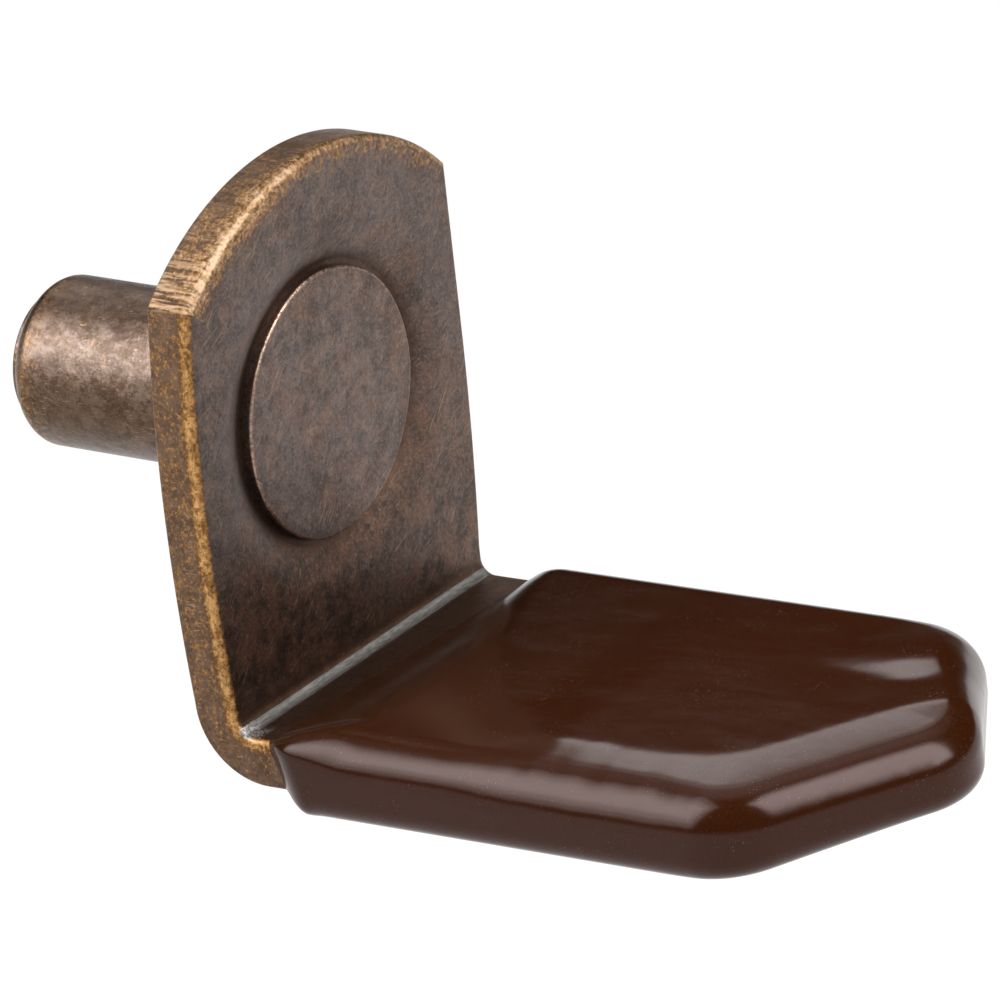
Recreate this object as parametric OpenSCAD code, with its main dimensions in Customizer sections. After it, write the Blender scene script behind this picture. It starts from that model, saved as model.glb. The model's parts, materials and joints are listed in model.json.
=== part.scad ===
// Shelf support pin: a folded sheet bracket with a riveted pin, its arm dipped in soft vinyl.
// Millimetres. X is the width, +Y runs into the cabinet side, -Y out under the shelf, +Z up.
// The origin is on the pin's axis, on the back face of the bracket's leg.

/* [Pin] */
// Diameter of the shank that enters the cabinet side
pin_d = 5; // [4.6:0.1:7]
// How far the shank stands out behind the leg
pin_reach = 8.55; // [6:0.05:14]
// Radius that rounds the shank's end
pin_end_round = 0.55; // [0.1:0.05:0.8]
// Diameter of the small step left on the end face
pip_d = 4; // [2.4:0.1:4.2]
// Height of that step
pip_h = 0.23; // [0.1:0.01:0.6]
// Diameter of the tenon that passes through the leg
tenon_d = 3.8; // [2.6:0.1:4.4]
// Radial clearance between the tenon and its hole
tenon_gap = 0.02; // [0.01:0.01:0.1]

/* [Rivet head] */
// Diameter of the flattened head on the front of the leg
head_d = 7.9; // [6:0.1:8.4]
// Thickness of the head above the floor it is pressed into
head_h = 0.28; // [0.2:0.01:0.6]
// Small round on the head's front rim
head_rim_round = 0.08; // [0.02:0.01:0.12]
// Depth that the head's seat is pressed into the leg
seat_depth = 0.4; // [0.15:0.01:0.6]
// Bare floor left around the head
seat_margin = 0.12; // [0.05:0.01:0.3]
// Width of the slope that rolls down to the seat
seat_slope = 1.5; // [0.8:0.05:1.8]

/* [Bracket] */
// Thickness of the sheet
sheet_t = 1.45; // [1.2:0.05:2.5]
// Width of the strip at the fold, along the arm and at the shoulders
strip_w = 12.45; // [12:0.05:18]
// How far each side of the leg swells out past the strip
side_swell = 0.22; // [0.1:0.01:0.5]
// Height of the shoulders above the pin's axis
shoulder_rise = 5.05; // [3:0.05:9]
// Height of the crown above the shoulders
crown_rise = 2.56; // [1.5:0.02:4]
// Radius of the rolled front edge along the crown
crown_roll = 0.35; // [0.1:0.05:0.6]
// Distance from the pin's axis down to the arm's upper face
arm_drop = 7.75; // [7.2:0.05:12]
// Radius inside the fold
fold_r = 0.45; // [0.3:0.05:1]
// How much the outside of the fold is rounder than the sheet's thickness alone would make it
fold_ease = 0.35; // [0.05:0.05:0.5]
// Angle by which the arm rises towards its point
arm_lift = 1.4; // [0.5:0.1:3]
// Length of the arm's straight sides, from the front of the leg
arm_straight = 16.35; // [10:0.05:24]
// Length of the arm's pointed end beyond them
arm_point = 3.6; // [2:0.1:6]

/* [Coating] */
// Thickness of the vinyl on each face of the arm
coat_t = 0.62; // [0.4:0.02:1]
// Thickness of its first edge, next to the fold
coat_lip = 0.14; // [0.08:0.02:0.3]
// Distance from the leg's front face to that edge
coat_start = 1.45; // [1.1:0.05:2.5]
// Length over which the upper face swells to full thickness
coat_swell_top = 1.6; // [0.8:0.1:3]
// Length over which the lower face swells to full thickness
coat_swell_under = 0.9; // [0.5:0.1:2]
// Radius that rounds the edges of the coating
edge_round = 1.15; // [0.8:0.05:1.15]
// Further radius that rounds its two side corners, seen from above
corner_round = 0.6; // [0.1:0.1:1.5]
// Further radius that rounds its point, seen from above
tip_round = 1.3; // [0.1:0.1:2]
// How much the coating's underside rises at its point
tip_rise = 0.24; // [0:0.02:0.4]
// How much it rises at the two side corners
corner_rise = 0.06; // [0:0.02:0.2]

/* [Hidden] */
$fn = 96;
COAT_FN = 32;
BRASS = "#7a5c3a";
VINYL = "#3b2119";
half_w = strip_w / 2;
head_r = head_d / 2;
// The floor of the head's seat
seat_y = -sheet_t + seat_depth;
// Centre of the fold's inner circle
fold_y = -sheet_t - fold_r;
fold_z = -arm_drop + fold_r;
// Centre of its outer circle, measured from there; the leg ends and the arm starts level with it
ease_up = fold_ease * (1 + sin(arm_lift)) / cos(arm_lift);
outer_r = fold_r + sheet_t + fold_ease;
leg_foot = fold_z + ease_up;
// Ends of the arm's straight sides and of its point, measured from the fold's inner circle
straight_end = arm_straight - fold_r;
point_end = straight_end + arm_point;
// Circle through both shoulders and the crown
crown_r = (half_w * half_w + crown_rise * crown_rise) / (2 * crown_rise);
crown_z = shoulder_rise + crown_rise - crown_r;
// Circle that swells each side of the leg between the shoulder and the fold
side_h = shoulder_rise - leg_foot;
side_r = (side_h * side_h / 4 + side_swell * side_swell) / (2 * side_swell);
side_z = (shoulder_rise + leg_foot) / 2;
side_x = half_w + side_swell - side_r;
// Circle that rolls the leg's face down to the head's seat
roll_end = head_r + seat_margin + seat_slope;
roll_r = (seat_slope * seat_slope + seat_depth * seat_depth) / (2 * seat_depth);
// The sheet's mid plane in the arm, and half the coated thickness
arm_mid = -fold_r - sheet_t / 2;
coat_half = sheet_t / 2 + coat_t;
coat_edge = coat_start - fold_r;
point_slope = atan2(arm_point, half_w);

// Puts what is drawn on the arm, measured from the fold's inner circle, where the arm lies
module on_arm() {
    translate([0, fold_y, fold_z]) rotate([-arm_lift, 0, 0]) children();
}

// The arm's pointed outline, from the distance start along the arm
module arm_outline(start) {
    polygon([
        [-half_w, -start], [-half_w, -straight_end], [0, -point_end],
        [half_w, -straight_end], [half_w, -start]
    ]);
}

// The folded sheet's section, measured from the fold's inner circle: leg, bend and arm.
// The bend is a little thinner than the sheet, because its outside is rounder.
module sheet_section() {
    along = [-cos(arm_lift), sin(arm_lift)];
    down = [-sin(arm_lift), -cos(arm_lift)];
    outer_c = [-fold_ease, ease_up];
    far = 3 * outer_r;
    leg_top = shoulder_rise + crown_rise - fold_z;
    arm_top = fold_r * down + ease_up * along;
    arm_under = arm_top + sheet_t * down;
    polygon([
        [fold_r, ease_up], [fold_r + sheet_t / 2, 0], [fold_r + sheet_t, ease_up],
        [fold_r + sheet_t, leg_top], [fold_r, leg_top]
    ]);
    polygon([
        arm_top, arm_top + point_end * along, arm_under + point_end * along,
        arm_under, (fold_r + sheet_t / 2) * down
    ]);
    difference() {
        intersection() {
            translate(outer_c) circle(outer_r);
            polygon([outer_c, outer_c + far * down, [far, -far], outer_c + [far, 0]]);
        }
        polygon([outer_c, arm_top, fold_r * down, [0, 0], [fold_r, 0], [fold_r, ease_up]]);
        circle(fold_r);
    }
}

// The leg's outline seen from the front: two swelling sides, open at the top for the crown
module leg_sides() {
    intersection() {
        translate([side_x, side_z]) circle(side_r);
        translate([-side_x, side_z]) circle(side_r);
        translate([-strip_w, leg_foot]) square([2 * strip_w, side_h + crown_rise + 1]);
    }
}

// A disc whose front rim is rolled; its edge is the crown
module crown_disc() {
    translate([0, 0, crown_z]) rotate([90, 0, 0]) rotate_extrude() {
        square([crown_r, sheet_t - crown_roll]);
        square([crown_r - crown_roll, sheet_t]);
        translate([crown_r - crown_roll, sheet_t - crown_roll]) circle(crown_roll);
    }
}

// Everything inside the blank's outline: the leg under its rolled crown, and the pointed arm
module blank_outline() {
    intersection() {
        translate([0, sheet_t, 0]) rotate([90, 0, 0]) linear_extrude(3 * sheet_t) leg_sides();
        union() {
            crown_disc();
            translate([-strip_w, -2 * sheet_t, leg_foot - 1])
                cube([2 * strip_w, 3 * sheet_t, side_z - leg_foot + 1]);
        }
    }
    on_arm() translate([0, 0, -2 * outer_r]) linear_extrude(3 * outer_r) arm_outline(-2 * outer_r);
}

// The part of the arm that the coating wraps
module coated_arm() {
    on_arm() translate([0, 0, -fold_r - sheet_t]) linear_extrude(sheet_t) arm_outline(ease_up);
}

// What the riveting press takes from the leg's face: a flat floor and a slope that rolls down to it
module seat_cut() {
    rotate([90, 0, 0]) rotate_extrude() difference() {
        translate([0, -seat_y]) square([roll_end, seat_depth + 1]);
        translate([roll_end, sheet_t - roll_r]) circle(roll_r);
    }
}

// One folded sheet: leg, fold and arm
module bracket() {
    color(BRASS) difference() {
        intersection() {
            translate([-strip_w, fold_y, fold_z]) rotate([90, 0, 90])
                linear_extrude(2 * strip_w) sheet_section();
            blank_outline();
        }
        seat_cut();
        rotate([90, 0, 0]) cylinder(d = tenon_d + 2 * tenon_gap, h = 3 * sheet_t, center = true);
    }
}

// A turned end: a flat round of radius r and height h whose far rim is rounded
module rounded_end(r, h, round_r) {
    rotate_extrude() {
        square([r, h - round_r]);
        square([r - round_r, h]);
        translate([r - round_r, h - round_r]) circle(round_r);
    }
}

// One turned piece: shank with its stepped end, tenon, and the head spread over the leg's face
module pin() {
    color(BRASS) union() {
        rotate([-90, 0, 0]) rounded_end(pin_d / 2, pin_reach - pip_h, pin_end_round);
        rotate([-90, 0, 0]) cylinder(d = pip_d, h = pin_reach);
        rotate([90, 0, 0]) cylinder(d = tenon_d, h = -seat_y);
        translate([0, seat_y, 0]) rotate([90, 0, 0]) rounded_end(head_r, head_h, head_rim_round);
    }
}

// A rounding ring of the coating at x across and s along the arm, on the upper (1) or lower (-1)
// side; its tube rounds the edge and its turn, further_r, rounds the corner seen from above
module coat_ring(x, s, side, further_r, rise = 0) {
    lift = side < 0 ? rise : 0;
    translate([x, -s, arm_mid + side * (coat_half - edge_round) + lift])
        rotate_extrude($fn = COAT_FN) intersection() {
            translate([further_r, 0]) circle(edge_round, $fn = COAT_FN);
            translate([0, -edge_round]) square(further_r + 2 * edge_round);
        }
}

// The same ring in a corner of the outline, as far outside the sheet's edge as the vinyl is thick
module corner_ring(x, side, further_r) {
    inset = coat_t - edge_round - further_r;
    shoulder_s = straight_end + inset * (1 - sin(point_slope)) / cos(point_slope);
    if (x == 0) coat_ring(0, point_end + inset / cos(point_slope), side, further_r, tip_rise);
    else coat_ring(x * (half_w + inset), shoulder_s, side, further_r, corner_rise);
}

// The vinyl's outer skin: a thin first edge that swells to the full round-edged section and point
module coat_skin() {
    swell_x = half_w + coat_t - edge_round - corner_round;
    swell_s = coat_edge + edge_round + corner_round;
    on_arm() hull() {
        translate([-half_w - coat_lip, -coat_edge - 0.01, arm_mid - sheet_t / 2 - coat_lip])
            cube([strip_w + 2 * coat_lip, 0.01, sheet_t + 2 * coat_lip]);
        for (x = [-1, 1]) {
            coat_ring(x * swell_x, swell_s + coat_swell_top, 1, corner_round);
            coat_ring(x * swell_x, swell_s + coat_swell_under, -1, corner_round);
            for (side = [-1, 1]) corner_ring(x, side, corner_round);
        }
        for (side = [-1, 1]) corner_ring(0, side, tip_round);
    }
}

// The dipped coat on the arm
module coating() {
    color(VINYL) difference() {
        coat_skin();
        coated_arm();
    }
}

bracket();
pin();
coating();
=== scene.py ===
# %% [markdown]
# # A shelf support pin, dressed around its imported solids
#
# The part is small hardware: one strip of sheet metal folded into an L, a turned pin riveted through
# its leg, and a coat of soft vinyl that the arm was dipped in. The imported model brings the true
# sizes. This lesson gives each of the three pieces the surface that the real one has: rolled and worn
# edges on the stamped sheet, scuffs on the pin, and the full, glossy skin of the vinyl.

import json
import math
import bmesh
import bpy
import numpy as np
from mathutils import Matrix, Vector


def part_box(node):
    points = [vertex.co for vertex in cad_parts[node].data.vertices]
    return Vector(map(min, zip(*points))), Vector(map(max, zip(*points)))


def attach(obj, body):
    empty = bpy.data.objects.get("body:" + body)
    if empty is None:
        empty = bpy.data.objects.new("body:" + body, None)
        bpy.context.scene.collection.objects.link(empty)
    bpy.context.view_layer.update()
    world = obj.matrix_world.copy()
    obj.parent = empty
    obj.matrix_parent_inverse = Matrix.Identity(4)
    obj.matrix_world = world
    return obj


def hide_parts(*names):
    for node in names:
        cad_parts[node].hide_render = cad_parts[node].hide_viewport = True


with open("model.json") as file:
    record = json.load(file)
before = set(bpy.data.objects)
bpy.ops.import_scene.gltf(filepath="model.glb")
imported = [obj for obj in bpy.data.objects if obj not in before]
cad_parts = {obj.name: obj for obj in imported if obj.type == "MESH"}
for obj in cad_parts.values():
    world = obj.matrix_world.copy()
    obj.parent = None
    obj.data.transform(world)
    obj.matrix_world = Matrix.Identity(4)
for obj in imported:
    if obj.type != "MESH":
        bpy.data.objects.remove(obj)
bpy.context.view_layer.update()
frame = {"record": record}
MM = 0.001
MOUNTS = {mount["name"]: mount for mount in frame["record"]["mounts"]}

# %% [markdown]
# ## Where the pieces are
#
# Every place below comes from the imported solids: the box of a node, or the pin's mount. Only the
# sizes that a box can't tell, such as the sheet's thickness, are written down, in millimetres, as the
# part's source has them. The origin is on the pin's axis, at the back of the leg. The pin points
# along +Y, the arm along -Y, and Z is up.

# %% Read the sizes
BRACKET_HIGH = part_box("bracket")[1] / MM
PIN_LOW, PIN_HIGH = (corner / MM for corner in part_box("pin"))
COAT_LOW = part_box("coating")[0] / MM
SHANK_R = MOUNTS["pin"]["dims"]["r_mm"]
HEAD_R = PIN_HIGH.x
CROWN_Z = BRACKET_HIGH.z
HALF_BULGE = BRACKET_HIGH.x
SHEET = 1.45
HALF_STRIP = 6.225
SHOULDER_Z = 5.05
TENON_R = 1.9
TENON_HOLE_R = 1.92
SEAT_DEPTH = 0.4
SEAT_R = HEAD_R + 0.12
SEAT_END = SEAT_R + 1.5
FOLD_R = 0.45
FOLD_EASE = 0.35
FOLD_CENTRE = Vector((0, -SHEET - FOLD_R, -7.75 + FOLD_R))
ARM_LIFT = math.radians(1.4)
ARM_STRAIGHT = 16.35 - FOLD_R
ARM_POINT = 3.6
print("shank radius", SHANK_R, "head radius", round(HEAD_R, 3), "crown at", round(CROWN_Z, 3))

# %% [markdown]
# ## The camera
#
# A camera is easiest to place as a person would hold it: choose the point it looks at, walk round to
# an azimuth, rise to an elevation, step back, and roll it a little. The lens is long, so the piece
# keeps its proportions, as small things do when they are seen from well back.

# %% Place the camera
AIM = Vector((2.2055, -5.2187, -3.3078)) * MM
AZIMUTH = math.radians(-53.912)
ELEVATION = math.radians(22.38)
DISTANCE = 0.24268
ROLL = math.radians(-5.971)
LENS = 307.307


def viewing_frame(azimuth, elevation, roll):
    """The camera's right, up and backward directions."""
    back = Vector((
        math.sin(azimuth) * math.cos(elevation),
        -math.cos(azimuth) * math.cos(elevation),
        math.sin(elevation),
    ))
    right = Vector((0, 0, 1)).cross(back).normalized()
    up = back.cross(right)
    rolled_right = right * math.cos(roll) + up * math.sin(roll)
    rolled_up = up * math.cos(roll) - right * math.sin(roll)
    return rolled_right, rolled_up, back


right, up, back = viewing_frame(AZIMUTH, ELEVATION, ROLL)
camera_data = bpy.data.cameras.new("camera")
camera_data.lens = LENS
camera_data.sensor_width = 36
camera_data.clip_start = 0.005
camera_data.clip_end = 20
camera = bpy.data.objects.new("camera", camera_data)
camera.matrix_world = Matrix((right, up, back)).transposed().to_4x4()
camera.location = AIM + back * DISTANCE
bpy.context.scene.collection.objects.link(camera)
bpy.context.scene.camera = camera
print("camera at", camera.location)

# %% [markdown]
# ## Helpers for meshes
#
# Both stamped and turned forms are made here as grids of points: rings that follow one another. A
# grid gives even, smooth shading, and each ring can carry a number, such as how worn it is, that the
# material reads later. The helpers join rings with faces and turn the result into an object.

# %% Mesh helpers
def ring_faces(ring_a, ring_b, closed=True):
    """Faces between two rings of vertex numbers of the same length."""
    count = len(ring_a)
    last = count if closed else count - 1
    return [
        (ring_a[i], ring_a[(i + 1) % count], ring_b[(i + 1) % count], ring_b[i])
        for i in range(last)
    ]


def make_piece(name, points_mm, faces, marks, crease_angle=35):
    """A smooth-shaded object from points in millimetres; marks are named numbers on its points."""
    mesh = bpy.data.meshes.new(name)
    mesh.from_pydata((np.array(points_mm) * MM).tolist(), [], faces)
    for mark, values in marks.items():
        attribute = mesh.attributes.new(mark, "FLOAT", "POINT")
        attribute.data.foreach_set("value", np.array(values, dtype=np.float32))
    piece = bpy.data.objects.new(name, mesh)
    bpy.context.scene.collection.objects.link(piece)
    clean_up(mesh)
    mesh.shade_smooth()
    mesh.set_sharp_from_angle(angle=math.radians(crease_angle))
    print(name, len(mesh.vertices), "points", len(mesh.polygons), "faces")
    return piece


def clean_up(mesh):
    """Drops loose points, closes doubled ones and turns every face outwards."""
    work = bmesh.new()
    work.from_mesh(mesh)
    loose = [point for point in work.verts if not point.link_faces]
    bmesh.ops.delete(work, geom=loose, context="VERTS")
    bmesh.ops.remove_doubles(work, verts=work.verts, dist=1e-7)
    bmesh.ops.recalc_face_normals(work, faces=work.faces)
    open_edges = sum(1 for edge in work.edges if not edge.is_manifold)
    print("  open edges:", open_edges)
    work.to_mesh(mesh)
    work.free()


def ease(value):
    """A smooth step from 0 to 1."""
    value = np.clip(value, 0.0, 1.0)
    return value * value * (3 - 2 * value)


print("mesh helpers ready")

# %% [markdown]
# ## The leg's outline
#
# The blank was punched from strip. Its crown is one arc through both shoulders, and each side swells
# a little between the shoulder and the fold, so it is an arc too, of a very large radius. A curve
# object could hold this outline. Plain points are used instead, each with its own outward direction,
# because the rolled edge moves every point in by its own amount. The outline is walked once round:
# over the crown, down the left side, along the fold and up the right side.

# %% Walk round the leg's outline
CROWN_RISE = CROWN_Z - SHOULDER_Z
CROWN_R = (HALF_STRIP ** 2 + CROWN_RISE ** 2) / (2 * CROWN_RISE)
CROWN_CENTRE_Z = CROWN_Z - CROWN_R
FOOT_Z = FOLD_CENTRE.z + FOLD_EASE * (1 + math.sin(ARM_LIFT)) / math.cos(ARM_LIFT)
SIDE_H = SHOULDER_Z - FOOT_Z
SIDE_SWELL = HALF_BULGE - HALF_STRIP
SIDE_R = (SIDE_H ** 2 / 4 + SIDE_SWELL ** 2) / (2 * SIDE_SWELL)
SIDE_CENTRE = (HALF_BULGE - SIDE_R, (SHOULDER_Z + FOOT_Z) / 2)
CROWN_STEPS = 200
SIDE_STEPS = 110
FOLD_STEPS = 84


def crown_walk():
    """Points and outward directions over the crown, from the right shoulder to the left."""
    start = math.asin(HALF_STRIP / CROWN_R)
    angles = np.linspace(start, -start, CROWN_STEPS + 1)
    out = np.stack([np.sin(angles), np.cos(angles)], 1)
    return out * CROWN_R + [0, CROWN_CENTRE_Z], out


def side_walk(side):
    """Points and outward directions down one side, from the shoulder to the fold."""
    start = math.asin((SHOULDER_Z - SIDE_CENTRE[1]) / SIDE_R)
    angles = np.linspace(start, -start, SIDE_STEPS + 1)
    out = np.stack([side * np.cos(angles), np.sin(angles)], 1)
    return out * SIDE_R + [side * SIDE_CENTRE[0], SIDE_CENTRE[1]], out


def mitre(out_a, out_b):
    """The direction along which a corner moves when both its edges move outwards by 1."""
    return (out_a + out_b) / (1 + out_a @ out_b)


crown_points, crown_out = crown_walk()
left_points, left_out = side_walk(-1)
right_points, right_out = side_walk(1)
fold_x = np.linspace(-1, 1, FOLD_STEPS + 1)[1:-1]
walk_points = np.concatenate([
    crown_points,
    left_points[1:],
    np.stack([fold_x * HALF_STRIP, np.full(fold_x.shape, FOOT_Z)], 1),
    right_points[:0:-1],
])
walk_out = np.concatenate([
    crown_out,
    left_out[1:],
    np.zeros((len(fold_x), 2)),
    right_out[:0:-1],
])
WALK = len(walk_points)
LEFT_SHOULDER = CROWN_STEPS
LEFT_FOOT = CROWN_STEPS + SIDE_STEPS
RIGHT_FOOT = LEFT_FOOT + FOLD_STEPS
walk_out[0] = mitre(crown_out[0], right_out[0])
walk_out[LEFT_SHOULDER] = mitre(crown_out[-1], left_out[0])
walk_out[LEFT_FOOT] = [-1, 0]
walk_out[RIGHT_FOOT] = [1, 0]
print("outline:", WALK, "points, crown radius", round(CROWN_R, 2), "mm")

# %% [markdown]
# ## How the punch left the edge
#
# A punch drags the sheet's skin down before it cuts, so the front edge of the crown is rolled over,
# most of all to the left of its middle and hardly at the shoulders. The sides are rounded only by
# tumbling. A bevel would give one radius all round, so the roll is built as a profile whose radius
# changes along the walk. It goes from the front face, over the roll, across the cut and round the
# small back edge.

# %% The rolled edge
SIDE_ROLL = 0.16
CROWN_ROLL = 0.38
BACK_ROLL = 0.11
CROWN_BACK_ROLL = 0.04
ROLL_STEPS = 7
CUT_STEPS = 8
walk_number = np.arange(WALK)
crown_share = np.clip(walk_number / CROWN_STEPS, 0, 1)
crown_swell = np.sin(np.pi * crown_share ** 2) ** 0.8 * (walk_number <= CROWN_STEPS)
front_roll = SIDE_ROLL + (CROWN_ROLL - SIDE_ROLL) * crown_swell
back_roll = BACK_ROLL + (CROWN_BACK_ROLL - BACK_ROLL) * crown_swell
roll_turn = np.linspace(0, np.pi / 2, ROLL_STEPS + 1)
profile = []
for turn in roll_turn:
    profile.append((front_roll * (1 - math.sin(turn)), SHEET - front_roll * (1 - math.cos(turn))))
for share in np.linspace(0, 1, CUT_STEPS + 1)[1:-1]:
    profile.append((0 * front_roll, (SHEET - front_roll) * (1 - share) + back_roll * share))
for turn in roll_turn:
    profile.append((back_roll * (1 - math.cos(turn)), back_roll * (1 - math.sin(turn))))
print("edge profile:", len(profile), "rings, roll from", SIDE_ROLL, "to", CROWN_ROLL, "mm")

# %% [markdown]
# ## The leg's faces
#
# The riveting press sank the pin's head into the face, with a flat floor under the head and a slope
# that rolls down to it. It also dished the whole leg by a tenth of a millimetre and twisted it a
# little. Rings that start as circles round the hole and end as the outline follow all of this
# exactly, and they carry the marks that the finish reads: how far a point lies in from the edge, how
# far it is from the back to the front, whether it is on the crown, and where painted shade darkens
# the pressed seat.

# %% Build the leg
ROLL_DOWN = ((SEAT_END - SEAT_R) ** 2 + SEAT_DEPTH ** 2) / (2 * SEAT_DEPTH)
FLOOR_RINGS = (2.9, HEAD_R - 0.15, HEAD_R, SEAT_R)
SLOPE_RINGS = 18
FACE_RINGS = 16
BACK_RINGS = 14
RECESS_SHADE_WIDTH = 0.5
FACE_INSET = 3.0
DISH_PIN = 0.12
DISH_TOP = 0.27
TWIST = 0.155


def dish(x, z):
    """How far the dished and slightly twisted leg stands behind the plane of its flat back."""
    above = np.clip(z / CROWN_Z, 0, 1) ** 2
    below = np.clip(z / FOOT_Z, 0, 1) ** 2
    twist = TWIST * (0.5 + 0.5 * x / HALF_STRIP) * (1 - below)
    return DISH_PIN - DISH_TOP * above - DISH_PIN * below - twist


def from_outline(flat):
    """How far a point of the leg's face lies inside the crown and the sides."""
    from_crown = CROWN_R - np.hypot(flat[:, 0], flat[:, 1] - CROWN_CENTRE_Z)
    from_side = SIDE_R - np.hypot(np.abs(flat[:, 0]) - SIDE_CENTRE[0], flat[:, 1] - SIDE_CENTRE[1])
    return np.clip(np.minimum(from_crown, from_side), 0, FACE_INSET)


def seat(radius):
    """How deep the pressed seat is at a distance from the pin's axis."""
    along = np.clip(SEAT_END - radius, 0, SEAT_END - SEAT_R)
    return ROLL_DOWN - np.sqrt(ROLL_DOWN ** 2 - along ** 2)


class Builder:
    """Collects the points of a piece, with their marks, and its faces."""

    def __init__(self, *marks):
        self.points = []
        self.faces = []
        self.marks = {mark: [] for mark in marks}

    def ring(self, points, **marks):
        """Adds a ring of points with their marks, and returns their numbers."""
        first = len(self.points)
        self.points.extend(points)
        for mark, values in self.marks.items():
            given = np.broadcast_to(np.asarray(marks.get(mark, 0.0), dtype=float), len(points))
            values.extend(given)
        return list(range(first, first + len(points)))

    def join(self, rings, closed=True):
        """Joins each ring to the next one."""
        for ring_a, ring_b in zip(rings, rings[1:]):
            self.faces.extend(ring_faces(ring_a, ring_b, closed))


def leg_ring(flat, height):
    """Points of the leg from their places in its outline's plane and above its back."""
    height = np.broadcast_to(height, len(flat))
    return np.stack([flat[:, 0], dish(flat[:, 0], flat[:, 1]) - height, flat[:, 1]], 1)


radial = walk_points / np.linalg.norm(walk_points, axis=1)[:, None]
is_crown = (walk_number <= CROWN_STEPS).astype(float)
sheet = Builder("inset", "crown", "across", "along", "recess")
front_inset = walk_points - walk_out * profile[0][0][:, None]
back_inset = walk_points - walk_out * profile[-1][0][:, None]


def face_rings(inset, count, is_front):
    """Rings of one face, from the tenon's hole out to where the edge's profile starts."""
    rings = []
    inner = [TENON_HOLE_R, *FLOOR_RINGS]
    inner += list(np.linspace(SEAT_R, SEAT_END, SLOPE_RINGS + 1)[1:]) if is_front else [SEAT_END]
    for radius in inner:
        height = SHEET - seat(radius) if is_front else 0.0
        # Painted shade: this mark is 1 in the pressed seat round the pin, on both faces, and fades up
        # the slope.
        recess = 1 - ease((radius - SEAT_R) / RECESS_SHADE_WIDTH)
        mark = {"across": float(is_front), "inset": FACE_INSET, "recess": recess}
        rings.append(sheet.ring(leg_ring(radial * radius, height), **mark))
    for share in np.linspace(0, 1, count + 1)[1:]:
        flat = radial * SEAT_END * (1 - share) + inset * share
        height = SHEET if is_front else 0.0
        mark = {"across": float(is_front), "inset": from_outline(flat), "crown": is_crown * share}
        rings.append(sheet.ring(leg_ring(flat, height), **mark))
    return rings


front_rings = face_rings(front_inset, FACE_RINGS, True)
edge_rings = []
for inset, height in profile[1:-1]:
    flat = walk_points - walk_out * inset[:, None]
    mark = {"inset": inset, "crown": is_crown, "across": height / SHEET}
    edge_rings.append(sheet.ring(leg_ring(flat, height), **mark))
back_rings = face_rings(back_inset, BACK_RINGS, False)
sheet.join(back_rings[::-1] + front_rings)
around = [front_rings[-1], *edge_rings, back_rings[-1]]
sheet.join([ring[RIGHT_FOOT:] + ring[: LEFT_FOOT + 1] for ring in around], closed=False)
print("leg:", len(sheet.points), "points")

# %% [markdown]
# ## The fold and the arm
#
# The same closed section now travels on: along the fold, whose outside is rounder than the sheet's
# thickness alone would make it, and out along the arm to its point, which the vinyl hides. Bending
# a flat sheet would keep its thickness, which the real fold doesn't. So front and back each follow
# their own path, and the section is stretched between them. Under the vinyl the arm is drawn a
# little narrower and ends blunt, so that it stays well inside the coat.

# %% Build the fold and the arm
FOLD_STATIONS = 30
ARM_STATIONS = 26
FOLD_TURN = math.pi / 2 + ARM_LIFT
OUTER_R = FOLD_R + SHEET + FOLD_EASE
EASE_UP = FOOT_Z - FOLD_CENTRE.z
BLUNT_HALF = 0.6
HIDDEN_INSET = 0.3
along_arm = np.array([-math.cos(ARM_LIFT), math.sin(ARM_LIFT)])
fold_c = np.array([FOLD_CENTRE.y, FOLD_CENTRE.z])
outer_c = fold_c + [-FOLD_EASE, EASE_UP]


def turned(angle):
    """A direction in the side view that turns from +Y down to the arm's underside."""
    return np.array([math.cos(angle), -math.sin(angle)])


def inner_path(share):
    """Where the sheet's front runs, from the leg's foot through the fold to the arm."""
    arc = FOLD_R * FOLD_TURN
    walked = share * (2 * EASE_UP + arc)
    if walked < EASE_UP:
        return fold_c + [FOLD_R, EASE_UP - walked]
    if walked < EASE_UP + arc:
        return fold_c + FOLD_R * turned((walked - EASE_UP) / FOLD_R)
    return fold_c + FOLD_R * turned(FOLD_TURN) + (walked - EASE_UP - arc) * along_arm


def section_ring(front, rear, half, along):
    """One closed section of the strip between its front and rear points in the side view."""
    front_x = np.linspace(-1, 1, FOLD_STEPS + 1) * (half - profile[0][0][LEFT_FOOT])
    back_x = np.linspace(1, -1, FOLD_STEPS + 1) * (half - profile[-1][0][LEFT_FOOT])
    right = [(half - inset[LEFT_FOOT], height[LEFT_FOOT]) for inset, height in profile[1:-1]]
    left = [(-x, height) for x, height in reversed(right)]
    columns = [(x, SHEET) for x in front_x] + right + [(x, 0.0) for x in back_x] + left
    x, height = np.array(columns).T
    across = height / SHEET
    side_view = rear + (front - rear) * across[:, None]
    inset = np.minimum(half - np.abs(x), FACE_INSET)
    # Painted shade along the inside of the fold, away from its edges.
    recess = ease(along / RECESS_SHADE_WIDTH) * ease((across - 0.9) / 0.1) * ease(inset / 0.3)
    points = np.column_stack([x, side_view])
    return sheet.ring(points, inset=inset, across=across, along=along, recess=recess)


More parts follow.
